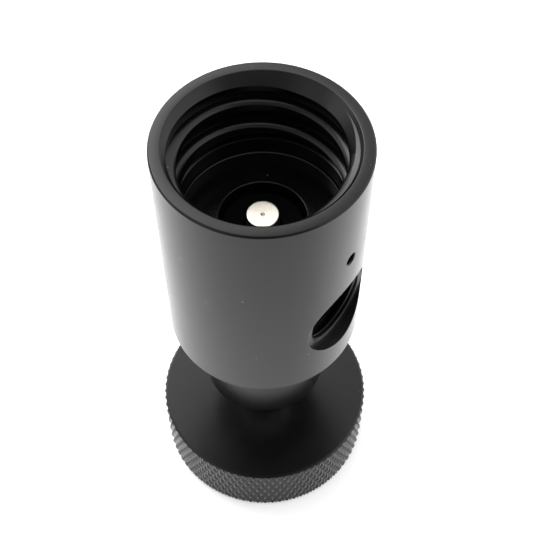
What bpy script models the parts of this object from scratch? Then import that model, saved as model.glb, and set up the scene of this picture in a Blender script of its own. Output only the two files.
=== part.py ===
"""Screw-on valve adapter: a threaded socket, a centre pin and the knurled knob that drives it.

World frame: metres, +Z up. The origin is the middle of the knob's underside, on the turning axis,
and +X points out through the side port. Sizes below are in millimetres and MM turns them into metres.
"""
import math

import bmesh
import bpy
from mathutils import Matrix

MM = 0.001
GAP = 0.3              # left between pieces that touch on the real object
MERGE = 0.00001        # metres, joins a turned shape's seam and its points on the axis

# Driving sizes
TOTAL_HEIGHT = 65.9
BODY_RADIUS = 12.5
BODY_BOTTOM = 32.5
NECK_RADIUS = 8.46
NECK_BOTTOM = 18.0
KNOB_RADIUS = 15.25
KNOB_HEIGHT = 9.84
PIN_RADIUS = 2.0
PIN_TOP = TOTAL_HEIGHT - 12.6
SPINDLE_RADIUS = 4.0

# Socket
RIM_INNER_RADIUS = 11.1                     # the lead-in cone runs from here down to the thread's crests
THREAD_PITCH = 4.0
THREAD_CREST_RADIUS = 9.62
THREAD_ROOT_RADIUS = 10.75
THREAD_CREST_WIDTH = 1.4
THREAD_FLANK_ANGLE = math.radians(15)
THREAD_MID_GROOVE = TOTAL_HEIGHT - 6.7     # height of a groove's middle at THREAD_ZERO_ANGLE
THREAD_ZERO_ANGLE = math.radians(127)
RELIEF_RADIUS = 10.9
RELIEF_TOP = TOTAL_HEIGHT - 9.5
RELIEF_BOTTOM = TOTAL_HEIGHT - 10.8
LAND_RADIUS = 10.1
FLOOR = TOTAL_HEIGHT - 13.25
POCKET_RADIUS = 5.25
POCKET_BOTTOM = FLOOR - 2.75
WEB_BOTTOM = POCKET_BOTTOM - 2.5
GUIDE_BORE_RADIUS = 4.1

# Side port and vent
PORT_HEIGHT = TOTAL_HEIGHT - 22.9
PORT_MOUTH_RADIUS = 5.9
PORT_SHOULDER = 11.0                        # distance of its flat shoulder from the axis
PORT_BORE_RADIUS = 5.0
VENT_HEIGHT = TOTAL_HEIGHT - 11.3
VENT_RADIUS = 0.8

# Lower body and bonnet
CHAMBER_RADIUS = 6.5
CHAMBER_BOTTOM = 37.8
BONNET_BORE_RADIUS = 8.2
STUB_RADIUS = BONNET_BORE_RADIUS - GAP
STUB_TOP = CHAMBER_BOTTOM - GAP
SEAL_BORE_RADIUS = 5.5
SEAL_BORE_BOTTOM = 26.0
NUT_POCKET_RADIUS = 6.2
NUT_POCKET_TOP = 25.3

TURNED_STEPS = 64
SMALL_STEPS = 32
SHARP_ANGLE = math.radians(35)


def make_collection(name):
    collection = bpy.data.collections.new(name)
    bpy.context.scene.collection.children.link(collection)
    return collection


def make_material(name, colour, roughness, metallic):
    material = bpy.data.materials.new(name)
    material.use_nodes = True
    shader = material.node_tree.nodes["Principled BSDF"]
    shader.inputs["Base Color"].default_value = (*colour, 1.0)
    shader.inputs["Roughness"].default_value = roughness
    shader.inputs["Metallic"].default_value = metallic
    return material


def add_object(name, data, collection, base=0.0, parent=None, material=None):
    """Link an object whose own origin is on the axis, at height base (mm)."""
    made = bpy.data.objects.new(name, data)
    made.location = (0.0, 0.0, base * MM)
    collection.objects.link(made)
    if material:
        data.materials.append(material)
    if parent:
        made.parent = parent
        made.matrix_parent_inverse = parent.matrix_world.inverted()
    return made


def add_axis(name, height, parent=None):
    """An empty on the turning axis, which moving pieces hang from."""
    axis = bpy.data.objects.new(name, None)
    axis.location = (0.0, 0.0, height * MM)
    parts.objects.link(axis)
    if parent:
        axis.parent = parent
        axis.matrix_parent_inverse = parent.matrix_world.inverted()
    bpy.context.view_layer.update()
    return axis


def turned(name, profile, steps, base, material, parent=None, closed=True):
    """Turn a profile of (radius, height) points, given down the outer side, about the Z axis."""
    mesh = bpy.data.meshes.new(name)
    points = [(radius * MM, 0.0, (height - base) * MM) for radius, height in profile]
    edges = [(i, i + 1) for i in range(len(points) - 1)]
    if closed:
        edges.append((len(points) - 1, 0))
    mesh.from_pydata(points, edges, [])
    made = add_object(name, mesh, parts, base, parent, material)
    screw = made.modifiers.new("turn", "SCREW")
    screw.axis = "Z"
    screw.angle = math.tau
    screw.steps = steps
    screw.render_steps = steps
    screw.use_merge_vertices = True
    screw.merge_threshold = MERGE
    bpy.context.view_layer.update()
    solid = bpy.data.meshes.new_from_object(made.evaluated_get(bpy.context.evaluated_depsgraph_get()))
    solid.shade_smooth()
    solid.set_sharp_from_angle(angle=SHARP_ANGLE)
    made.modifiers.clear()
    made.data = solid
    bpy.data.meshes.remove(mesh)
    solid.name = name
    return made


def ring(name, inner, outer, bottom, height, steps, material, parent=None):
    """A flat washer or bush."""
    top = bottom + height
    profile = [(outer, top), (outer, bottom), (inner, bottom), (inner, top)]
    return turned(name, profile, steps, bottom, material, parent)


def o_ring(name, centre_radius, cord_radius, middle, steps, material, parent=None):
    """A rubber ring of round section, its section an eight-sided loop."""
    sides = 8
    profile = []
    for side in range(sides):
        angle = -math.tau * side / sides
        profile.append((centre_radius + cord_radius * math.cos(angle), middle + cord_radius * math.sin(angle)))
    return turned(name, profile, steps, middle, material, parent)


def make_cutter(name, bm, matrix=None):
    """A hidden, wire-drawn mesh for a Boolean."""
    if matrix:
        bm.transform(matrix)
    bmesh.ops.recalc_face_normals(bm, faces=bm.faces)
    mesh = bpy.data.meshes.new(name)
    bm.to_mesh(mesh)
    bm.free()
    cutter = bpy.data.objects.new(name, mesh)
    cutter.hide_render = True
    cutter.display_type = "WIRE"
    cutters.objects.link(cutter)
    return cutter


def cylinder_cutter(name, radius, start, end, steps, across_at=None):
    """A cylinder up the Z axis from start to end, or along +X at height across_at (all mm)."""
    bm = bmesh.new()
    bmesh.ops.create_cone(bm, cap_ends=True, segments=steps, radius1=radius * MM, radius2=radius * MM,
                          depth=(end - start) * MM)
    middle = (start + end) / 2 * MM
    matrix = Matrix.Translation((0.0, 0.0, middle))
    if across_at is not None:
        matrix = Matrix.Translation((middle, 0.0, across_at * MM)) @ Matrix.Rotation(math.pi / 2, 4, "Y")
    return make_cutter(name, bm, matrix)


def box_bmesh(low, high):
    """A box between two corners, in mm."""
    size = [(b - a) * MM for a, b in zip(low, high)]
    middle = [(a + b) / 2 * MM for a, b in zip(low, high)]
    bm = bmesh.new()
    bmesh.ops.create_cube(bm, size=1.0)
    bm.transform(Matrix.Translation(middle) @ Matrix.Diagonal((*size, 1.0)))
    return bm


def apply_boolean(target, tool, operation="DIFFERENCE"):
    boolean = target.modifiers.new(tool.name, "BOOLEAN")
    boolean.object = tool
    boolean.operation = operation
    boolean.solver = "EXACT"


def thread_groove():
    """The socket's trapezoidal groove, which deepens from its lower end and leaves past the rim."""
    steps_per_turn = TURNED_STEPS
    inner = THREAD_CREST_RADIUS - 0.4
    half_root = (THREAD_PITCH - THREAD_CREST_WIDTH) / 2
    half_root -= (THREAD_ROOT_RADIUS - THREAD_CREST_RADIUS) * math.tan(THREAD_FLANK_ANGLE)
    half_mouth = half_root + (THREAD_ROOT_RADIUS - inner) * math.tan(THREAD_FLANK_ANGLE)
    section = [(inner, -half_mouth), (THREAD_ROOT_RADIUS, -half_root), (THREAD_ROOT_RADIUS, half_root),
               (inner, half_mouth)]
    lowest = RELIEF_BOTTOM + half_mouth + 0.1
    highest = TOTAL_HEIGHT + half_mouth + 0.3
    count = round((highest - lowest) / THREAD_PITCH * steps_per_turn)
    start_angle = THREAD_ZERO_ANGLE + math.tau * (lowest - THREAD_MID_GROOVE) / THREAD_PITCH
    fade_steps = steps_per_turn / 5
    bm = bmesh.new()
    rings = []
    for step in range(count + 1):
        angle = start_angle + math.tau * step / steps_per_turn
        middle = lowest + THREAD_PITCH * step / steps_per_turn
        share = min(1.0, 0.2 + step / fade_steps)
        ring_here = []
        for radius, rise in section:
            faded = inner + (radius - inner) * share
            point = (faded * math.cos(angle) * MM, faded * math.sin(angle) * MM, (middle + rise) * MM)
            ring_here.append(bm.verts.new(point))
        rings.append(ring_here)
    for below, above in zip(rings, rings[1:]):
        for i in range(len(section)):
            j = (i + 1) % len(section)
            bm.faces.new((below[i], below[j], above[j], above[i]))
    bm.faces.new(rings[0])
    bm.faces.new(rings[-1])
    return make_cutter("thread_groove", bm)


def make_valve_body():
    chamfer = 0.2
    profile = [
        (BODY_RADIUS - chamfer, TOTAL_HEIGHT),
        (BODY_RADIUS, TOTAL_HEIGHT - chamfer),
        (BODY_RADIUS, BODY_BOTTOM + 0.15),
        (BODY_RADIUS - 0.15, BODY_BOTTOM),
        (BONNET_BORE_RADIUS, BODY_BOTTOM),
        (BONNET_BORE_RADIUS, CHAMBER_BOTTOM),
        (CHAMBER_RADIUS, CHAMBER_BOTTOM),
        (CHAMBER_RADIUS, WEB_BOTTOM),
        (GUIDE_BORE_RADIUS, WEB_BOTTOM),
        (GUIDE_BORE_RADIUS, POCKET_BOTTOM),
        (POCKET_RADIUS, POCKET_BOTTOM),
        (POCKET_RADIUS, FLOOR - 0.12),
        (POCKET_RADIUS + 0.12, FLOOR),
        (LAND_RADIUS - 0.15, FLOOR),
        (LAND_RADIUS, FLOOR + 0.15),
        (LAND_RADIUS, RELIEF_BOTTOM),
        (RELIEF_RADIUS, RELIEF_BOTTOM + 0.3),
        (RELIEF_RADIUS, RELIEF_TOP),
        (THREAD_CREST_RADIUS, RELIEF_TOP + 0.4),
        (THREAD_CREST_RADIUS, TOTAL_HEIGHT - (RIM_INNER_RADIUS - THREAD_CREST_RADIUS)),
        (RIM_INNER_RADIUS, TOTAL_HEIGHT),
    ]
    body = turned("valve_body", profile, TURNED_STEPS, BODY_BOTTOM, black_anodised, housing)
    apply_boolean(body, thread_groove())
    mouth = cylinder_cutter("port_mouth", PORT_MOUTH_RADIUS, PORT_SHOULDER, BODY_RADIUS + 2, 40, PORT_HEIGHT)
    bore = cylinder_cutter("port_bore", PORT_BORE_RADIUS, CHAMBER_RADIUS - 1.5, PORT_SHOULDER + 1, 40, PORT_HEIGHT)
    vent = cylinder_cutter("vent", VENT_RADIUS, LAND_RADIUS - 2, BODY_RADIUS + 2, 16, VENT_HEIGHT)
    for tool in (mouth, bore, vent):
        apply_boolean(body, tool)


def make_guide_bush():
    """Centres the pin in the web; three slots let the gas past."""
    outer = GUIDE_BORE_RADIUS - GAP
    bush = ring("guide_bush", PIN_RADIUS + 0.1, outer, WEB_BOTTOM + 0.2, 2.0, 48, black_plastic, housing)
    slot_count = 3
    for index in range(slot_count):
        bm = box_bmesh((PIN_RADIUS - 0.5, -0.6, WEB_BOTTOM - 1), (3.1, 0.6, POCKET_BOTTOM + 1))
        turn = Matrix.Rotation(math.tau * index / slot_count + math.pi / 2, 4, "Z")
        apply_boolean(bush, make_cutter(f"gas_slot_{index + 1}", bm, turn))


def make_spring(bottom, top):
    """The return spring, wound as a coil of round wire."""
    wire_radius = 0.27
    mean_radius = 3.4
    turns = 5.5
    points_per_turn = 16
    curve = bpy.data.curves.new("return_spring", "CURVE")
    curve.dimensions = "3D"
    curve.bevel_depth = wire_radius * MM
    curve.bevel_resolution = 2
    curve.use_fill_caps = True
    spline = curve.splines.new("POLY")
    count = int(turns * points_per_turn)
    spline.points.add(count)
    climb = top - bottom - 2 * wire_radius
    for index in range(count + 1):
        angle = math.tau * index / points_per_turn
        height = wire_radius + climb * index / count
        spline.points[index].co = (mean_radius * math.cos(angle) * MM, mean_radius * math.sin(angle) * MM,
                                   height * MM, 1.0)
    add_object("return_spring", curve, parts, bottom, housing, spring_steel)


def make_bonnet():
    """The neck: it screws into the body from below and carries the spindle."""
    groove = (33.6, 35.2)
    groove_radius = STUB_RADIUS - 1.3
    shoulder = BODY_BOTTOM - GAP
    snap_groove = (18.4, 19.5)
    profile = [
        (STUB_RADIUS - 0.4, STUB_TOP),
        (STUB_RADIUS, STUB_TOP - 0.4),
        (STUB_RADIUS, groove[1]),
        (groove_radius, groove[1]),
        (groove_radius, groove[0]),
        (STUB_RADIUS, groove[0]),
        (STUB_RADIUS, shoulder),
        (NECK_RADIUS, shoulder),
        (NECK_RADIUS, NECK_BOTTOM + 0.3),
        (NECK_RADIUS - 0.3, NECK_BOTTOM),
        (NUT_POCKET_RADIUS, NECK_BOTTOM),
        (NUT_POCKET_RADIUS, snap_groove[0]),
        (NUT_POCKET_RADIUS + 0.7, snap_groove[0]),
        (NUT_POCKET_RADIUS + 0.7, snap_groove[1]),
        (NUT_POCKET_RADIUS, snap_groove[1]),
        (NUT_POCKET_RADIUS, NUT_POCKET_TOP),
        (SPINDLE_RADIUS + 0.5, NUT_POCKET_TOP),
        (SPINDLE_RADIUS + 0.5, SEAL_BORE_BOTTOM),
        (SEAL_BORE_RADIUS, SEAL_BORE_BOTTOM),
        (SEAL_BORE_RADIUS, STUB_TOP - 0.4),
        (SEAL_BORE_RADIUS + 0.4, STUB_TOP),
    ]
    turned("bonnet", profile, 48, NECK_BOTTOM, black_anodised, housing)
    o_ring("bonnet_oring", groove_radius + 0.7, 0.58, (groove[0] + groove[1]) / 2, 36, rubber, housing)
    ring("spindle_nut", SPINDLE_RADIUS + GAP, NUT_POCKET_RADIUS - GAP, 20.9, 4.1, SMALL_STEPS, brass, housing)
    ring("wiper_ring", SPINDLE_RADIUS + 0.2, NUT_POCKET_RADIUS - GAP, 19.65, 1.0, SMALL_STEPS, rubber, housing)
    make_snap_ring(snap_groove[0] + 0.2, snap_groove[1] - 0.2)


def make_snap_ring(bottom, top):
    """An internal snap ring, open at one side, with two plier ears."""
    opening = math.radians(20)
    ear_distance = 5.6
    snap = ring("snap_ring", 5.4, NUT_POCKET_RADIUS + 0.4, bottom, top - bottom, 48, spring_steel, housing)
    apply_boolean(snap, make_cutter("snap_gap", box_bmesh((3.0, -0.9, bottom - 1), (8.0, 0.9, top + 1))))
    for side in (-1, 1):
        angle = side * opening
        bm = bmesh.new()
        bmesh.ops.create_cone(bm, cap_ends=True, segments=20, radius1=1.0 * MM, radius2=1.0 * MM,
                              depth=(top - bottom) * MM)
        place = (ear_distance * math.cos(angle) * MM, ear_distance * math.sin(angle) * MM,
                 (bottom + top) / 2 * MM)
        apply_boolean(snap, make_cutter(f"snap_ear_{side}", bm, Matrix.Translation(place)), "UNION")
        bm = bmesh.new()
        bmesh.ops.create_cone(bm, cap_ends=True, segments=12, radius1=0.4 * MM, radius2=0.4 * MM,
                              depth=(top - bottom + 2) * MM)
        apply_boolean(snap, make_cutter(f"ear_hole_{side}", bm, Matrix.Translation(place)))


def make_pin_group():
    """What lifts and doesn't turn: the valve pin and the thrust ball under its foot."""
    seat_mouth = 1.25
    seat_depth = 0.9
    ball_radius = 1.2
    ball_lift = ball_radius * 1.1 / math.sin(math.atan(seat_mouth / seat_depth))
    nose_top = 33.2
    ball_middle = nose_top - seat_depth + ball_lift
    foot_bottom = ball_middle + ball_lift - seat_depth
    collar_top = foot_bottom + 1.6
    profile = [
        (0.0, PIN_TOP - 0.25),
        (0.25, PIN_TOP),
        (PIN_RADIUS - 0.2, PIN_TOP),
        (PIN_RADIUS, PIN_TOP - 0.2),
        (PIN_RADIUS, collar_top),
        (4.1, collar_top),
        (4.3, collar_top - 0.2),
        (4.3, foot_bottom + 0.2),
        (4.1, foot_bottom),
        (seat_mouth, foot_bottom),
        (0.0, foot_bottom + seat_depth),
    ]
    turned("valve_pin", profile, SMALL_STEPS, foot_bottom, polished_steel, pin_axis, closed=False)
    bm = bmesh.new()
    bmesh.ops.create_uvsphere(bm, u_segments=20, v_segments=12, radius=ball_radius * MM)
    mesh = bpy.data.meshes.new("thrust_ball")
    bm.to_mesh(mesh)
    bm.free()
    mesh.shade_smooth()
    add_object("thrust_ball", mesh, parts, ball_middle, pin_axis, polished_steel)
    washer_bottom = WEB_BOTTOM - 0.7
    ring("spring_washer", 2.4, 4.6, washer_bottom, 0.4, SMALL_STEPS, spring_steel, housing)
    make_spring(collar_top + GAP, washer_bottom - GAP)
    return nose_top, seat_mouth, seat_depth


def make_spindle(nose_top, seat_mouth, seat_depth):
    """The screwed spindle, its seals, and the key that turns it."""
    head_radius = SEAL_BORE_RADIUS - GAP
    head_bottom = SEAL_BORE_BOTTOM + GAP
    head_top = 31.6
    groove_radius = 4.1
    grooves = ((head_bottom + 0.5, head_bottom + 2.3), (head_bottom + 2.9, head_bottom + 4.7))
    shoulder = KNOB_HEIGHT + GAP
    end_radius = 3.2
    end_bottom = 4.3
    tapped_radius = 1.75
    tapped_top = 11.5
    profile = [
        (0.0, nose_top - seat_depth),
        (seat_mouth, nose_top),
        (2.6, nose_top),
        (2.6, head_top),
        (head_radius, head_top),
    ]
    for low, high in reversed(grooves):
        profile += [(head_radius, high), (groove_radius, high), (groove_radius, low), (head_radius, low)]
    profile += [
        (head_radius, head_bottom),
        (SPINDLE_RADIUS, head_bottom),
        (SPINDLE_RADIUS, shoulder),
        (end_radius, shoulder),
        (end_radius, end_bottom),
        (tapped_radius, end_bottom),
        (tapped_radius, tapped_top),
        (0.0, tapped_top + 1.0),
    ]
    spindle = turned("spindle", profile, SMALL_STEPS, end_bottom, spring_steel, turn_axis, closed=False)
    keyway = box_bmesh((2.35, -1.1, 4.9), (end_radius + 1, 1.1, 9.7))
    apply_boolean(spindle, make_cutter("spindle_keyway", keyway))
    for label, (low, high) in zip(("lower", "upper"), grooves):
        o_ring(f"spindle_oring_{label}", groove_radius + 0.68, 0.56, low + 0.66, 28, rubber, turn_axis)
        ring(f"backup_ring_{label}", groove_radius + 0.15, head_radius + 0.1, high - 0.5, 0.42, SMALL_STEPS,
             white_ptfe, turn_axis)


def make_knob():
    """The knob with its key, and the washer and screw that hold it on from below."""
    chamfer = 0.45
    foot_chamfer = 0.15
    bore_radius = 3.5
    recess_radius = 5.4
    recess_top = 4.0
    profile = [
        (KNOB_RADIUS - chamfer, KNOB_HEIGHT),
        (KNOB_RADIUS, KNOB_HEIGHT - chamfer),
        (KNOB_RADIUS, foot_chamfer),
        (KNOB_RADIUS - foot_chamfer, 0.0),
        (recess_radius, 0.0),
        (recess_radius, recess_top),
        (bore_radius, recess_top),
        (bore_radius, KNOB_HEIGHT),
    ]
    knob = turned("knob", profile, TURNED_STEPS, 0.0, black_anodised, turn_axis)
    keyway = box_bmesh((0.0, -1.1, recess_top - 1), (4.7, 1.1, KNOB_HEIGHT + 1))
    apply_boolean(knob, make_cutter("knob_keyway", keyway))
    bm = box_bmesh((2.65, -0.8, 0.0), (4.35, 0.8, 4.2))
    mesh = bpy.data.meshes.new("knob_key")
    bm.to_mesh(mesh)
    bm.free()
    key = add_object("knob_key", mesh, parts, 5.2, turn_axis, spring_steel)
    bevel = key.modifiers.new("edges", "BEVEL")
    bevel.width = 0.12 * MM
    bevel.segments = 1
    ring("knob_washer", 1.75, 5.0, 2.9, 0.8, SMALL_STEPS, polished_steel, turn_axis)
    head_bottom = 0.5
    head_top = 2.6
    screw_profile = [
        (0.0, 10.6),
        (1.0, 10.6),
        (1.45, 10.1),
        (1.45, head_top),
        (2.75, head_top),
        (2.75, head_bottom + 0.3),
        (2.45, head_bottom),
        (0.0, head_bottom),
    ]
    screw = turned("knob_screw", screw_profile, SMALL_STEPS, head_bottom, polished_steel, turn_axis, closed=False)
    bm = bmesh.new()
    hex_radius = 1.15
    bmesh.ops.create_cone(bm, cap_ends=True, segments=6, radius1=hex_radius * MM, radius2=hex_radius * MM,
                          depth=2.6 * MM)
    apply_boolean(screw, make_cutter("screw_socket", bm, Matrix.Translation((0.0, 0.0, head_bottom * MM))))


for existing in list(bpy.data.objects):
    bpy.data.objects.remove(existing)

parts = make_collection("valve_adapter")
cutters = make_collection("cutters")

black_anodised = make_material("black_anodised", (0.018, 0.018, 0.019), 0.32, 0.85)
polished_steel = make_material("polished_steel", (0.78, 0.76, 0.72), 0.25, 1.0)
spring_steel = make_material("spring_steel", (0.45, 0.45, 0.46), 0.35, 1.0)
brass = make_material("brass", (0.72, 0.55, 0.25), 0.35, 1.0)
black_plastic = make_material("black_plastic", (0.015, 0.015, 0.015), 0.5, 0.0)
rubber = make_material("rubber", (0.02, 0.02, 0.02), 0.75, 0.0)
white_ptfe = make_material("white_ptfe", (0.85, 0.85, 0.83), 0.5, 0.0)

housing = add_axis("housing", 0.0)
pin_axis = add_axis("pin_axis", PIN_TOP, housing)
turn_axis = add_axis("turn_axis", 0.0, pin_axis)

make_valve_body()
ring("seat_gasket", PIN_RADIUS + 0.4, POCKET_RADIUS - GAP, POCKET_BOTTOM + 0.2, 0.9, 40, rubber, housing)
make_guide_bush()
make_bonnet()
nose = make_pin_group()
make_spindle(*nose)
make_knob()
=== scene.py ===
"""The looks of a screw-on valve adapter: black anodised body, bonnet and knob, silver centre pin.

The body, bonnet, knob, pin, spindle and spring are remade here with more detail than their CAD
nodes have. The small inner pieces keep their CAD shape and only get a material. Lengths are in
millimetres unless a comment says otherwise. +Z is the turning axis, and the side port and the vent
face +X.
"""
import math

import bmesh
import bpy
import numpy as np
from mathutils import Matrix, Vector


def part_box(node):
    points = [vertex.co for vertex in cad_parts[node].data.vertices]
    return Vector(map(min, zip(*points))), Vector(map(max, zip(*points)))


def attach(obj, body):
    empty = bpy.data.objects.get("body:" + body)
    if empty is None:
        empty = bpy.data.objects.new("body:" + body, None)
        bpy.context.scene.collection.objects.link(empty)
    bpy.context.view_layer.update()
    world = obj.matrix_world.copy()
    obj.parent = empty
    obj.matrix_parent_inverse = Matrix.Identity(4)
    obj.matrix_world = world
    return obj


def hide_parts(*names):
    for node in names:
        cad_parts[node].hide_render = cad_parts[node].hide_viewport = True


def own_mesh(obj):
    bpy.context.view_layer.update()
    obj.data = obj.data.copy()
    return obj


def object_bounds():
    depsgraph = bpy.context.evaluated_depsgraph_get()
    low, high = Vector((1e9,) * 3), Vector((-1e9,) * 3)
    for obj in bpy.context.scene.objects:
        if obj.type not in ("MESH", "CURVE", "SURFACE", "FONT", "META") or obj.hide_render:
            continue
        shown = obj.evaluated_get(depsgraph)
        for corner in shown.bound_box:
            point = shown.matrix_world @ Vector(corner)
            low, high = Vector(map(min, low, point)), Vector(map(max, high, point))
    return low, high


MM = 0.001             # metres in a millimetre
BACK = 127             # azimuth of the far side as the camera sees it, in degrees

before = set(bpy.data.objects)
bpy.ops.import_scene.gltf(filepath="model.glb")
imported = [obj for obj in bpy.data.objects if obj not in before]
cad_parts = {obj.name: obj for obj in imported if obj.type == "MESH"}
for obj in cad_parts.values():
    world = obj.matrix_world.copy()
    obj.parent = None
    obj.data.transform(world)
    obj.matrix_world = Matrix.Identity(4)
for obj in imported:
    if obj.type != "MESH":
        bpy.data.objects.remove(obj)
cad_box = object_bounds()
TOTAL = cad_box[1].z / MM
NECK_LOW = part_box("bonnet")[0].z / MM
BODY_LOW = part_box("valve_body")[0].z / MM
BODY_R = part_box("valve_body")[1].x / MM
KNOB_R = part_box("knob")[1].x / MM
KNOB_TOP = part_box("knob")[1].z / MM
PIN_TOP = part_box("valve_pin")[1].z / MM

PORT_Z = TOTAL - 22.9  # height of the side port's axis
PORT_FACE_X = 11.0     # the port's counterbore ends here
PORT_FACE_R = 5.9      # and is this wide
VENT_Z = TOTAL - 11.3  # height of the vent's axis
KEY_HALF = 1.1         # half the width of the keyways in knob and spindle


# ---------------------------------------------------------------- mesh tools
def add_object(name, data):
    made = bpy.data.objects.new(name, data)
    bpy.context.scene.collection.objects.link(made)
    return made


def rounded(profile, sizes, steps=3):
    """A closed profile of (radius, height) points with each corner rounded.

    sizes is one size, or one a point. A size under 0.005 leaves its corner sharp.
    """
    count = len(profile)
    if not hasattr(sizes, "__len__"):
        sizes = [sizes] * count
    out = []
    for i in range(count):
        here = Vector(profile[i])
        before = Vector(profile[i - 1]) - here
        after = Vector(profile[(i + 1) % count]) - here
        size = min(sizes[i], before.length * 0.45, after.length * 0.45)
        if size < 0.005 or here.x < 1e-6:
            out.append(tuple(here))
            continue
        start = here + before.normalized() * size
        end = here + after.normalized() * size
        for step in range(steps + 1):
            t = step / steps
            out.append(tuple(start * (1 - t) ** 2 + here * 2 * t * (1 - t) + end * t * t))
    return out


def ring_points(radius, height, count):
    """One ring of points about the axis. radius and height are numbers, or one a point."""
    angle = np.linspace(0, math.tau, count, endpoint=False)
    radius = np.broadcast_to(np.asarray(radius, float), count)
    height = np.broadcast_to(np.asarray(height, float), count)
    return np.stack([radius * np.cos(angle), radius * np.sin(angle), height], axis=1)


def rings_of(profile, count):
    return [ring_points(radius, height, count) for radius, height in profile]


def skin(name, rings, closed=True):
    """A mesh over successive rings.

    closed joins the last ring to the first. If it isn't, the end rings are poles on the axis.
    """
    count = len(rings[0])
    rows = len(rings)
    verts = np.concatenate(rings) * MM
    faces = []
    for row in range(rows if closed else rows - 1):
        a, b = row * count, (row + 1) % rows * count
        for i in range(count):
            j = (i + 1) % count
            faces.append((a + i, b + i, b + j, a + j))
    mesh = bpy.data.meshes.new(name)
    mesh.from_pydata(verts.tolist(), [], faces)
    bm = bmesh.new()
    bm.from_mesh(mesh)
    bmesh.ops.remove_doubles(bm, verts=bm.verts, dist=1e-7)
    bmesh.ops.dissolve_degenerate(bm, edges=bm.edges, dist=1e-8)
    bmesh.ops.recalc_face_normals(bm, faces=bm.faces)
    bm.to_mesh(mesh)
    bm.free()
    return add_object(name, mesh)


def evaluated_mesh(thing):
    """A mesh of an object with its modifiers applied, or of a curve with its thickness."""
    bpy.context.view_layer.update()
    depsgraph = bpy.context.evaluated_depsgraph_get()
    return bpy.data.meshes.new_from_object(thing.evaluated_get(depsgraph))


def clear_slivers(mesh):
    """Clears the sliver faces that a Boolean can leave."""
    bm = bmesh.new()
    bm.from_mesh(mesh)
    bmesh.ops.triangulate(bm, faces=bm.faces)
    bmesh.ops.dissolve_degenerate(bm, edges=bm.edges, dist=1e-6)
    bmesh.ops.triangulate(bm, faces=bm.faces)
    bm.to_mesh(mesh)
    bm.free()


def cut(piece, cutter):
    """Takes the cutter's volume out of the piece, and removes the cutter."""
    boolean = piece.modifiers.new("cut", "BOOLEAN")
    boolean.object = cutter
    boolean.operation = "DIFFERENCE"
    boolean.solver = "EXACT"
    solid = evaluated_mesh(piece)
    piece.modifiers.clear()
    piece.data = solid
    solid.name = piece.name
    bpy.data.objects.remove(cutter)
    clear_slivers(piece.data)


def from_bmesh(bm, place):
    """A cutter or the floor: an object made from a bmesh, which is moved to its place first."""
    bm.transform(place)
    bmesh.ops.recalc_face_normals(bm, faces=bm.faces)
    mesh = bpy.data.meshes.new("cutter")
    bm.to_mesh(mesh)
    bm.free()
    return add_object("cutter", mesh)


def lying_along_x(middle, height):
    """Lays a shape whose axis is Z along +X, with its middle at x = middle."""
    return Matrix.Translation((middle * MM, 0, height * MM)) @ Matrix.Rotation(math.pi / 2, 4, "Y")


def drill(radius_start, radius_end, start, end, height, count):
    """A round cutter along X, tapered if its radii differ."""
    bm = bmesh.new()
    bmesh.ops.create_cone(bm, cap_ends=True, segments=count, radius1=radius_start * MM,
                          radius2=radius_end * MM, depth=(end - start) * MM)
    return from_bmesh(bm, lying_along_x((start + end) / 2, height))


def box(low, high):
    bm = bmesh.new()
    bmesh.ops.create_cube(bm, size=1.0)
    size = [(b - a) * MM for a, b in zip(low, high)]
    middle = [(a + b) / 2 * MM for a, b in zip(low, high)]
    return from_bmesh(bm, Matrix.Translation(middle) @ Matrix.Diagonal((*size, 1.0)))


def helix_groove(section, pitch, low, high, low_angle, steps, place=Matrix.Identity(4)):
    """A thread cutter: section, of (radius, rise) points, swept up a right-hand helix.

    steps are the points a turn. The groove starts shallow and has its full depth 0.16 turn later.
    """
    count = round((high - low) / pitch * steps)
    inner = min(radius for radius, rise in section)
    bm = bmesh.new()
    rings = []
    for step in range(count + 1):
        angle = low_angle + math.tau * step / steps
        middle = low + pitch * step / steps
        share = min(1.0, 0.2 + step / (steps / 5))
        ring = []
        for radius, rise in section:
            reach = inner + (radius - inner) * share
            x, y, z = reach * math.cos(angle), reach * math.sin(angle), middle + rise
            ring.append(bm.verts.new((x * MM, y * MM, z * MM)))
        rings.append(ring)
    for below, above in zip(rings, rings[1:]):
        for i in range(len(section)):
            j = (i + 1) % len(section)
            bm.faces.new((below[i], below[j], above[j], above[i]))
    bm.faces.new(rings[0])
    bm.faces.new(rings[-1])
    return from_bmesh(bm, place)


def finish_piece(piece, body, slot, material, *nodes, sharp=32, weighted=True):
    """Shades a piece, and states its body and the CAD nodes it replaces. Its slot argument is not
    used.
    """
    mesh = piece.data
    mesh.materials.clear()
    mesh.materials.append(material)
    mesh.shade_smooth()
    mesh.set_sharp_from_angle(angle=math.radians(sharp))
    if weighted:
        normals = piece.modifiers.new("normals", "WEIGHTED_NORMAL")
        normals.keep_sharp = True
        normals.weight = 50
    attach(piece, body)
    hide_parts(*nodes)


# ---------------------------------------------------------------- materials
NOISE_RANGE = (0.3, 0.7)               # where most of a noise texture's values lie
ANODISED = ((0.002, 0.002, 0.0021), (0.0035, 0.0035, 0.0036))     # darkest and lightest tone
DUST_COLOUR = (0.10, 0.098, 0.095, 1)
# colour of the knurl's tips: partly worn metal, partly a painted highlight
TIP_SHEEN_AND_WEAR_COLOUR = (0.06, 0.06, 0.06, 1)
BUMP_DISTANCE = 0.02 * MM
SOFT_EDGE = 0.06 * MM                  # radius that edges are shaded with


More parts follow.
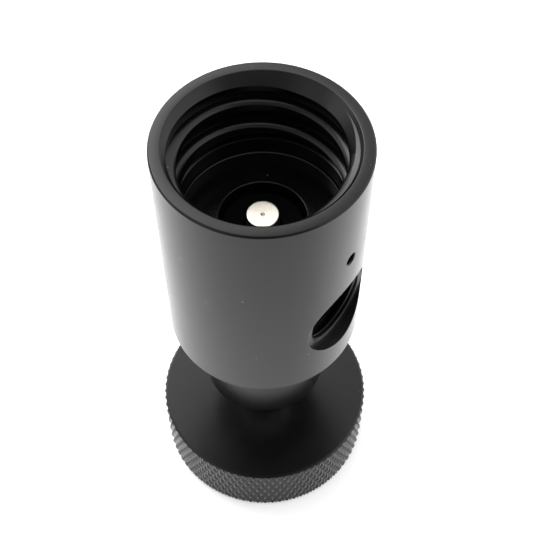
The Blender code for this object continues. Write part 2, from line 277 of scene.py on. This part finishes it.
class Nodes:
    """Adds nodes to a new material and joins them up."""

    def __init__(self, name):
        self.material = bpy.data.materials.new(name)
        self.material.use_nodes = True
        self.tree = self.material.node_tree
        self.shader = self.tree.nodes["Principled BSDF"]

    def add(self, kind, inputs=None, **settings):
        node = self.tree.nodes.new(kind)
        for key, value in settings.items():
            setattr(node, key, value)
        for key, value in (inputs or {}).items():
            self.put(node.inputs[key], value)
        return node

    def put(self, socket, value):
        if isinstance(value, bpy.types.NodeSocket):
            self.tree.links.new(value, socket)
        else:
            socket.default_value = value

    def maths(self, operation, a, b=0.0):
        return self.add("ShaderNodeMath", {0: a, 1: b}, operation=operation).outputs[0]

    def length(self, a, b):
        """The square root of a squared plus b squared."""
        squares = self.maths("ADD", self.maths("MULTIPLY", a, a), self.maths("MULTIPLY", b, b))
        return self.maths("SQRT", squares)

    def blend(self, a, b, share=0.5):
        """a and b added up, b with its share and a with the rest."""
        part_a = self.maths("MULTIPLY", a, 1 - share)
        return self.maths("ADD", part_a, self.maths("MULTIPLY", b, share))

    def coordinate(self):
        return self.add("ShaderNodeTexCoord").outputs["Object"]

    def place(self):
        """(x, y, z, distance from the turning axis)."""
        split = self.add("ShaderNodeSeparateXYZ", {0: self.coordinate()}).outputs
        x, y, z = [self.maths("MULTIPLY", split[i], 1000.0) for i in range(3)]
        return x, y, z, self.length(x, y)

    def noise(self, vector, scale, detail=2.0, rough=0.5, dimensions="3D"):
        inputs = {"Scale": scale, "Detail": detail, "Roughness": rough}
        inputs["W" if dimensions == "1D" else "Vector"] = vector
        return self.add("ShaderNodeTexNoise", inputs, noise_dimensions=dimensions).outputs[0]

    def ramp(self, value, low, high, out_low=0.0, out_high=1.0):
        inputs = {0: value, 1: low, 2: high, 3: out_low, 4: out_high}
        return self.add("ShaderNodeMapRange", inputs).outputs[0]

    def mix(self, factor, a, b):
        return self.add("ShaderNodeMix", {0: factor, 6: a, 7: b}, data_type="RGBA").outputs[2]

    def bump(self, height, strength, **normal):
        inputs = {"Height": height, "Strength": strength, "Distance": BUMP_DISTANCE, **normal}
        return self.add("ShaderNodeBump", inputs).outputs[0]


def turned_metal(name, dark, light, metallic, rough, marks, grain=26.0, ior=1.5, sandy=0.2,
                 dust=0.0, port=False, tip_sheen_and_wear=False):
    """A lathe-turned surface: fine rings round the axis, uneven tone, softened edges.

    rough is its lowest and highest roughness, marks the strength of its relief, and grain how fine
    the rings are, in cycles a millimetre. sandy is the share of blasted grain in the relief, and
    dust the share of 1.1 mm cells that hold a speck. port makes the side port rougher, as an end
    mill leaves it. The last flag, for the knurl's tips, paints them lighter: partly worn bare
    metal, partly a painted highlight standing in for the light the tips reflect.
    """
    n = Nodes(name)
    x, y, z, radius = n.place()
    along = n.maths("ADD", z, n.maths("MULTIPLY", radius, 1.37))     # rings on flat faces too
    fine = n.noise(along, grain, 3.0, 0.6, "1D")
    broad = n.noise(along, grain * 0.13, 2.0, 0.5, "1D")
    point = n.add("ShaderNodeCombineXYZ", {0: x, 1: y, 2: z}).outputs[0]
    cloud = n.noise(point, 0.16, 3.0, 0.55)
    sand = n.noise(point, 14.0, 2.0, 0.6)
    colour = n.mix(n.ramp(n.blend(cloud, broad), *NOISE_RANGE), (*dark, 1), (*light, 1))
    if dust:
        cell = n.add("ShaderNodeTexVoronoi", {"Vector": point, "Scale": 0.9})
        near = n.ramp(cell.outputs["Distance"], 0.08, 0.15, 1.0, 0.0)
        drawn = n.add("ShaderNodeSeparateXYZ", {0: cell.outputs["Color"]}).outputs[0]
        speck = n.maths("MULTIPLY", near, n.maths("GREATER_THAN", drawn, 1 - dust))
        colour = n.mix(speck, colour, DUST_COLOUR)
    # Painted highlight: the knurl's tips below the top chamfer are painted lighter, partly as worn
    # bare metal and partly standing in for the light the tips reflect.
    if tip_sheen_and_wear:
        side = n.ramp(z, KNOB_TOP - 0.5, KNOB_TOP - 0.45, 1.0, 0.0)
        tips = n.maths("MULTIPLY", side, n.ramp(radius, KNOB_R - 0.16, KNOB_R - 0.02))
        uneven = n.ramp(cloud, *NOISE_RANGE, 0.6, 1.0)
        colour = n.mix(n.maths("MULTIPLY", tips, uneven), colour, TIP_SHEEN_AND_WEAR_COLOUR)
    n.put(n.shader.inputs["Base Color"], colour)
    roughness = n.ramp(n.blend(fine, cloud), *NOISE_RANGE, *rough)
    if port:
        off = n.length(y, n.maths("SUBTRACT", z, PORT_Z))
        in_bore = n.maths("LESS_THAN", off, PORT_FACE_R + 0.05)
        below_skin = n.maths("LESS_THAN", radius, BODY_R - 0.02)
        outer_part = n.maths("GREATER_THAN", x, PORT_FACE_X - 0.3)
        milled = n.maths("MULTIPLY", n.maths("MULTIPLY", in_bore, below_skin), outer_part)
        roughness = n.maths("ADD", roughness, n.maths("MULTIPLY", milled, 0.22))
    n.put(n.shader.inputs["Roughness"], roughness)
    n.shader.inputs["Metallic"].default_value = metallic
    n.shader.inputs["IOR"].default_value = ior
    soft = n.add("ShaderNodeBevel", {"Radius": SOFT_EDGE}, samples=4).outputs[0]
    n.put(n.shader.inputs["Normal"], n.bump(n.blend(fine, sand, sandy), marks, Normal=soft))
    return n.material


def soft_material(name, colour, rough, grain, marks, ior=1.45):
    """Rubber or plastic: an even colour with a fine moulded grain. grain is in cycles a metre."""
    n = Nodes(name)
    n.shader.inputs["IOR"].default_value = ior
    point = n.coordinate()
    speck = n.noise(point, grain, 3.0, 0.6)
    cloud = n.noise(point, 300.0)
    darker = [0.8 * part for part in colour]
    n.put(n.shader.inputs["Base Color"], n.mix(cloud, (*darker, 1), (*colour, 1)))
    n.put(n.shader.inputs["Roughness"], n.ramp(speck, *NOISE_RANGE, rough - 0.08, rough + 0.08))
    n.put(n.shader.inputs["Normal"], n.bump(speck, marks))
    return n.material


black = turned_metal("anodised_black", *ANODISED, 0.0, (0.14, 0.24), marks=0.16,
                     ior=1.325, sandy=0.4, dust=0.05, port=True)
black_satin = turned_metal("anodised_black_satin", *ANODISED, 0.0, (0.23, 0.27), marks=0.3,
                           grain=18.0, ior=1.34, sandy=0.95, dust=0.06, tip_sheen_and_wear=True)
silver = turned_metal("turned_silver", (0.56, 0.53, 0.455), (0.66, 0.62, 0.54), 1.0,
                      (0.24, 0.36), marks=0.35, grain=9.0)
steel = turned_metal("plain_steel", (0.34, 0.34, 0.35), (0.46, 0.46, 0.47), 1.0,
                     (0.26, 0.4), marks=0.2, grain=12.0)
brass = turned_metal("turned_brass", (0.62, 0.45, 0.19), (0.76, 0.58, 0.27), 1.0,
                     (0.25, 0.4), marks=0.25, grain=10.0)
rubber = soft_material("nitrile_rubber", (0.0012, 0.0012, 0.0013), 0.7, 9000.0, 0.2, ior=1.13)
plastic = soft_material("black_plastic", (0.003, 0.003, 0.003), 0.45, 7000.0, 0.1, ior=1.3)
ptfe = soft_material("ptfe", (0.80, 0.80, 0.78), 0.45, 5000.0, 0.1)


# ---------------------------------------------------------------- valve body
def cut_socket_thread(body, crest, root, relief_low):
    """The right-hand trapezoidal thread, with a curved flare where its flanks meet the crests."""
    pitch, crest_width, flank, flare = 4.0, 1.4, math.radians(15), 0.22

    def half_width(radius):
        return (pitch - crest_width) / 2 - (radius - crest) * math.tan(flank)

    upper = [(crest - 0.4, half_width(crest) + 0.3)]
    for step in range(5):
        out = step / 4
        upper.append((crest + 0.6 * out, half_width(crest + 0.6 * out) + flare * (1 - out) ** 2))
    upper.append((root, half_width(root)))
    section = [(r, -w) for r, w in upper] + [(r, w) for r, w in reversed(upper)]
    low = relief_low + half_width(crest) + 0.4
    high = TOTAL + half_width(crest) + 0.5
    seen = TOTAL - 6.7                  # height of the groove's middle at the far side
    low_angle = math.radians(BACK) + math.tau * (low - seen) / pitch
    cut(body, helix_groove(section, pitch, low, high, low_angle, 192))


def cut_side_port(body):
    """The port's counterbore, its bore and the 1 mm thread in it."""
    bore, inner, root = 4.65, 4.35, 4.98
    cut(body, drill(PORT_FACE_R, PORT_FACE_R, PORT_FACE_X, BODY_R + 2, PORT_Z, 96))
    cut(body, drill(bore, bore, 5.0, 11.5, PORT_Z, 96))
    groove = [(inner, -0.44), (root, -0.08), (root, 0.08), (inner, 0.44)]
    cut(body, helix_groove(groove, 1.0, 6.6, 11.6, 0.1, 64, lying_along_x(0, PORT_Z)))


def make_body():
    crest, root = 9.62, 10.75           # of the socket's thread
    rim_in = 11.1                       # mouth of its lead-in cone
    relief, relief_top, relief_low = 10.9, TOTAL - 9.5, TOTAL - 10.8
    land, floor = 10.1, TOTAL - 13.25
    pocket, pocket_low = 5.25, TOTAL - 16.0
    hole, web_low = 4.1, pocket_low - 2.5
    chamber, chamber_low, bonnet_bore = 6.5, 37.8, 8.2
    corners = [                         # radius, height and the size of the corner's rounding
        (BODY_R - 0.2, TOTAL, 0.04), (BODY_R, TOTAL - 0.2, 0.06),
        (BODY_R, BODY_LOW + 0.15, 0.06), (BODY_R - 0.15, BODY_LOW, 0.06),
        (bonnet_bore, BODY_LOW, 0.08), (bonnet_bore, chamber_low, 0.08),
        (chamber, chamber_low, 0.08), (chamber, web_low, 0.08),
        (hole, web_low, 0.08), (hole, pocket_low, 0.08),
        (pocket, pocket_low, 0.1), (pocket, floor - 0.12, 0.05),
        (pocket + 0.12, floor, 0.05), (land - 0.15, floor, 0.1),
        (land, floor + 0.15, 0.08), (land, relief_low, 0.03),
        (relief, relief_low + 0.3, 0.1), (relief, relief_top, 0.15),
        (crest, relief_top + 0.4, 0.05), (crest, TOTAL - (rim_in - crest), 0.12),
        (rim_in, TOTAL, 0.06),
    ]
    profile = rounded([(r, z) for r, z, size in corners], [size for r, z, size in corners])
    body = skin("valve_body_turned", rings_of(profile, 192))
    cut_socket_thread(body, crest, root, relief_low)
    cut_side_port(body)
    cut(body, drill(0.8, 0.8, land - 2, BODY_R + 2, VENT_Z, 32))            # the vent
    cut(body, drill(4.6, 5.05, 10.6, 11.05, PORT_Z, 96))                    # the port's chamfer
    cut(body, drill(0.75, 1.15, BODY_R - 0.2, BODY_R + 0.2, VENT_Z, 32))    # and the vent's
    finish_piece(body, "housing", "black_anodised", black, "valve_body", sharp=28)


# ---------------------------------------------------------------- bonnet
def make_bonnet():
    top, oring_groove, plug, neck = 37.5, 6.6, 7.9, 8.46
    seal_bore, stem_hole, nut_bore, snap_groove = 5.5, 4.5, 6.2, 6.9
    profile = [
        (plug - 0.4, top), (plug, top - 0.4), (plug, 35.2), (oring_groove, 35.2),
        (oring_groove, 33.6), (plug, 33.6), (plug, 32.2), (neck, 32.2), (neck, NECK_LOW + 0.3),
        (neck - 0.3, NECK_LOW), (nut_bore, NECK_LOW), (nut_bore, 18.4), (snap_groove, 18.4),
        (snap_groove, 19.5), (nut_bore, 19.5), (nut_bore, 25.3), (stem_hole, 25.3),
        (stem_hole, 26.0), (seal_bore, 26.0), (seal_bore, top - 0.4), (seal_bore + 0.4, top),
    ]
    bonnet = skin("bonnet_turned", rings_of(rounded(profile, 0.08), 160))
    finish_piece(bonnet, "housing", "black_anodised", black, "bonnet")


# ---------------------------------------------------------------- knob
def make_knob():
    starts, steps = 84, 8               # knurl grooves each way, and points from one to the next
    count = starts * steps
    depth, flank = 0.34, 0.86           # a groove's depth, and its flanks' share of the half pitch
    chamfer, foot = 0.45, 0.15          # top and bottom chamfers
    plain_band = 0.27                   # of the top chamfer, which the knurl doesn't reach
    lead = 4.5 / 12.5                   # cycles for each mm of height
    row_step = 1 / steps / lead
    high = KNOB_TOP
    middle = high / 2
    cycles = np.arange(count) / steps

    def knurl_radius(height):
        up = (cycles + lead * (height - middle)) % 1
        down = (cycles - lead * (height - middle)) % 1
        near = np.minimum(np.minimum(up, 1 - up), np.minimum(down, 1 - down)) * 2
        crest = np.clip(near / flank, 0, 1)
        return KNOB_R - depth * (1 - crest)

    heights = [high - down for down in (0.0, 0.08, 0.2, 0.26, 0.34, chamfer)]
    rows = np.arange(middle - 60 * row_step, middle + 60 * row_step, row_step)
    heights += [z for z in reversed(rows) if foot + 0.1 < z < high - 0.5]
    heights += [foot, 0.08, 0.0]
    rings = []
    for height in heights:
        radius = min(KNOB_R, KNOB_R - chamfer + high - height, KNOB_R - foot + height)
        if height <= high - plain_band:
            radius = np.minimum(knurl_radius(height), radius)
        rings.append(ring_points(radius, height, count))
    recess, recess_top, bore = 5.4, 4.0, 3.5
    under = [(KNOB_R - depth - 0.1, 0.0), (recess + 0.1, 0.0), (recess, 0.1),
             (recess, recess_top - 0.1), (recess - 0.1, recess_top), (bore, recess_top)]
    over = [(bore, high - 0.15), (bore + 0.15, high), (KNOB_R - chamfer - 0.05, high)]
    knob = skin("knob_knurled", rings + rings_of(under + over, count))
    cut(knob, box((0, -KEY_HALF, 3.0), (4.7, KEY_HALF, high + 1)))
    finish_piece(knob, "spindle_group", "black_anodised", black_satin, "knob", sharp=24)


# ---------------------------------------------------------------- pin, spindle and spring
def make_pin():
    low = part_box("valve_pin")[0].z / MM
    collar_top, shank, collar = low + 1.6, 2.0, 4.3
    mark = [(0.0, PIN_TOP - 0.22), (0.06, PIN_TOP - 0.2), (0.2, PIN_TOP - 0.03), (0.27, PIN_TOP)]
    tool_marks = [(r, PIN_TOP - 0.012 * (i % 2)) for i, r in enumerate(np.arange(0.4, 1.8, 0.08))]
    edge, soft = [], 0.15
    for step in range(5):
        angle = math.pi / 2 * step / 4
        out, up = soft * math.sin(angle), soft * math.cos(angle)
        edge.append((shank - soft + out, PIN_TOP - soft + up))
    sides = [(shank, collar_top + 0.1), (shank + 0.1, collar_top), (collar - 0.2, collar_top),
             (collar, collar_top - 0.2), (collar, low + 0.2), (collar - 0.2, low)]
    cup = [(1.25, low), (0.0, low + 0.9)]           # which the ball sits in
    profile = mark + tool_marks + edge + sides + cup
    pin = skin("valve_pin_turned", rings_of(profile, 96), closed=False)
    finish_piece(pin, "pin", "polished_steel", silver, "valve_pin", sharp=40, weighted=False)


def make_spindle():
    """The spindle with its 1.25 mm thread as real geometry between the knob and the seal head."""
    low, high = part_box("spindle")[0].z / MM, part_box("spindle")[1].z / MM
    count = 96
    major, minor, pitch = 4.0, 3.4, 1.25
    turn = np.arange(count) / count
    head, groove = 5.2, 4.1             # the seal head and its two grooves
    head_top, head_low, nose = 31.6, 26.3, 2.6
    profile = [(0.0, high - 0.9), (1.25, high), (nose - 0.1, high), (nose, high - 0.1),
               (nose, head_top), (head - 0.1, head_top), (head, head_top - 0.1)]
    for above, below in ((31.0, 29.2), (28.6, 26.8)):
        profile += [(head, above), (groove, above), (groove, below), (head, below)]
    profile += [(head, head_low + 0.1), (head - 0.1, head_low), (minor, head_low)]
    rings = rings_of(profile, count)
    start, end = 10.14, 26.0            # the thread's ends
    for height in np.arange(end, start, -pitch / 10):
        phase = (height / pitch - turn) % 1
        tooth = np.clip((0.5 - np.abs(phase - 0.5)) * 2 * 1.2 - 0.1, 0, 1)
        fade = min(1.0, (height - start) / 0.8, (end - height) / 0.4)
        rings.append(ring_points(minor + (major - minor) * tooth * max(fade, 0.0), height, count))
    foot, screw_hole = 3.2, 1.75
    end_profile = [(minor, start), (foot, start), (foot, low + 0.2), (foot - 0.2, low),
                   (screw_hole, low), (screw_hole, 11.5), (0.0, 12.5)]
    rings += rings_of(end_profile, count)
    spindle = skin("spindle_threaded", rings, closed=False)
    cut(spindle, box((2.35, -KEY_HALF, 4.9), (4.2, KEY_HALF, 9.7)))
    finish_piece(spindle, "spindle_group", "spring_steel", steel, "spindle",
                 sharp=35, weighted=False)


def make_spring():
    low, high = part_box("return_spring")[0].z / MM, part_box("return_spring")[1].z / MM
    wire, mean, turns, each = 0.27, 3.4, 5.5, 40    # wire and mean radius, turns, and points a turn
    curve = bpy.data.curves.new("return_spring_coil", "CURVE")
    curve.dimensions = "3D"
    curve.bevel_depth = wire * MM
    curve.bevel_resolution = 3
    curve.use_fill_caps = True
    line = curve.splines.new("POLY")
    count = int(turns * each)
    line.points.add(count)
    for i in range(count + 1):
        angle = math.tau * i / each
        height = low + wire + (high - low - 2 * wire) * i / count
        x, y = mean * math.cos(angle), mean * math.sin(angle)
        line.points[i].co = (x * MM, y * MM, height * MM, 1)
    drawn = add_object("drawn", curve)
    mesh = evaluated_mesh(drawn)
    bpy.data.objects.remove(drawn)
    spring = add_object("return_spring_coil", mesh)
    finish_piece(spring, "housing", "spring_steel", steel, "return_spring",
                 sharp=50, weighted=False)
    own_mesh(spring)


def dress_cad_nodes():
    """The small inner pieces keep their CAD shape and get a finished material."""
    looks = {
        rubber: ("seat_gasket", "bonnet_oring", "wiper_ring", "spindle_oring_lower",
                 "spindle_oring_upper"),
        ptfe: ("backup_ring_lower", "backup_ring_upper"),
        brass: ("spindle_nut",),
        plastic: ("guide_bush",),
        silver: ("thrust_ball", "knob_washer", "knob_screw"),
        steel: ("spring_washer", "snap_ring", "knob_key"),
    }
    for material, names in looks.items():
        for name in names:
            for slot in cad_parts[name].material_slots:
                slot.material = material


# ---------------------------------------------------------------- stage, light, camera
def make_floor():
    n = Nodes("studio_floor")
    speck = n.noise(n.coordinate(), 900.0)
    n.put(n.shader.inputs["Base Color"], n.mix(speck, (0.82, 0.82, 0.82, 1), (0.85, 0.85, 0.85, 1)))
    n.shader.inputs["Roughness"].default_value = 0.9
    n.shader.inputs["Emission Color"].default_value = (1, 1, 1, 1)
    n.shader.inputs["Emission Strength"].default_value = 0.3
    floor = box((-1500, -1500, -10), (1500, 1500, -0.02))
    floor.name = "studio_floor"
    floor.data.materials.append(n.material)


def make_sky():
    """An even pale world with soft brighter patches in it."""
    world = bpy.data.worlds.new("studio")
    bpy.context.scene.world = world
    world.use_nodes = True
    tree = world.node_tree
    background = tree.nodes["Background"]
    background.inputs["Color"].default_value = (1, 1, 1, 1)
    coordinate = tree.nodes.new("ShaderNodeTexCoord")

    def glow(azimuth, elevation, edge, core, strength):
        """A soft patch of sky about one direction. edge and core are angles from it, in degrees."""
        azimuth, elevation = math.radians(azimuth), math.radians(elevation)
        flat = math.cos(elevation)
        aim = (math.cos(azimuth) * flat, math.sin(azimuth) * flat, math.sin(elevation))
        dot = tree.nodes.new("ShaderNodeVectorMath")
        dot.operation = "DOT_PRODUCT"
        dot.inputs[1].default_value = aim
        tree.links.new(coordinate.outputs["Generated"], dot.inputs[0])
        patch = tree.nodes.new("ShaderNodeMapRange")
        patch.interpolation_type = "SMOOTHSTEP"
        limits = (math.cos(math.radians(edge)), math.cos(math.radians(core)), 0.0, strength)
        for socket, value in enumerate(limits, start=1):
            patch.inputs[socket].default_value = value
        tree.links.new(dot.outputs["Value"], patch.inputs[0])
        return patch.outputs[0]

    even_light = 0.6
    patches = (
        (BACK, 30, 50, 12, 1.4),            # broad, behind
        (BACK + 50, 44, 22, 8, 6.0),        # key, behind to the left
        (BACK + 28, 46, 24, 6, 3.8),        # its softer neighbour
        (BACK - 85, 18, 55, 15, 1.5),       # fill from the right
        (BACK + 105, 22, 45, 15, 0.6),      # weaker fill from the left
        (BACK + 85, 30, 20, 6, 0.9),        # a window to the left, seen in the thread
        (BACK + 180, 20, 32, 8, -0.35),     # the camera's own shade
    )
    total = None
    for patch in patches:
        add = tree.nodes.new("ShaderNodeMath")
        add.operation = "ADD"
        if total is None:
            add.inputs[0].default_value = even_light
        else:
            tree.links.new(total, add.inputs[0])
        tree.links.new(glow(*patch), add.inputs[1])
        total = add.outputs[0]
    tree.links.new(total, background.inputs["Strength"])


def make_overhead_light():
    """A round soft light above. Its size and places are in metres, and its power in watts."""
    place, target = Vector((0.05, 0.05, 0.75)), Vector((0, 0, 0.03))
    data = bpy.data.lights.new("overhead", "AREA")
    data.shape = "DISK"
    data.size = 0.5
    data.energy = 1.0
    lamp = add_object("overhead", data)
    lamp.location = place
    lamp.rotation_euler = (target - place).to_track_quat("-Z", "Y").to_euler()


def make_camera():
    """Above and in front, looking 56.5 degrees down, on the side 37 degrees round from -Y."""
    distance = 6.023 * BODY_R * MM      # how far it is from the turning axis
    above = 7.047 * BODY_R * MM         # and how high over the rim
    pitch, yaw, roll = math.radians(56.54), math.radians(1.18), math.radians(0.30)
    flat = math.cos(pitch)
    forward = Vector((math.sin(yaw) * flat, math.cos(yaw) * flat, -math.sin(pitch)))
    level_right = Vector((math.cos(yaw), -math.sin(yaw), 0))
    level_up = level_right.cross(forward)
    right = level_right * math.cos(roll) + level_up * math.sin(roll)
    up = level_up * math.cos(roll) - level_right * math.sin(roll)
    turn = Matrix.Rotation(math.radians(37), 4, "Z")
    axes = Matrix((right, up, -forward)).transposed().to_4x4()
    data = bpy.data.cameras.new("camera")
    data.sensor_width = 36
    data.lens = 69.328
    data.clip_start, data.clip_end = 0.005, 10
    camera = add_object("camera", data)
    camera.matrix_world = turn @ Matrix.Translation((0, -distance, TOTAL * MM + above)) @ axes
    bpy.context.scene.camera = camera


make_camera()
make_body()
make_bonnet()
make_knob()
make_pin()
make_spindle()
make_spring()
dress_cad_nodes()
make_floor()
make_sky()
make_overhead_light()
bpy.context.scene.view_settings.view_transform = "Standard"
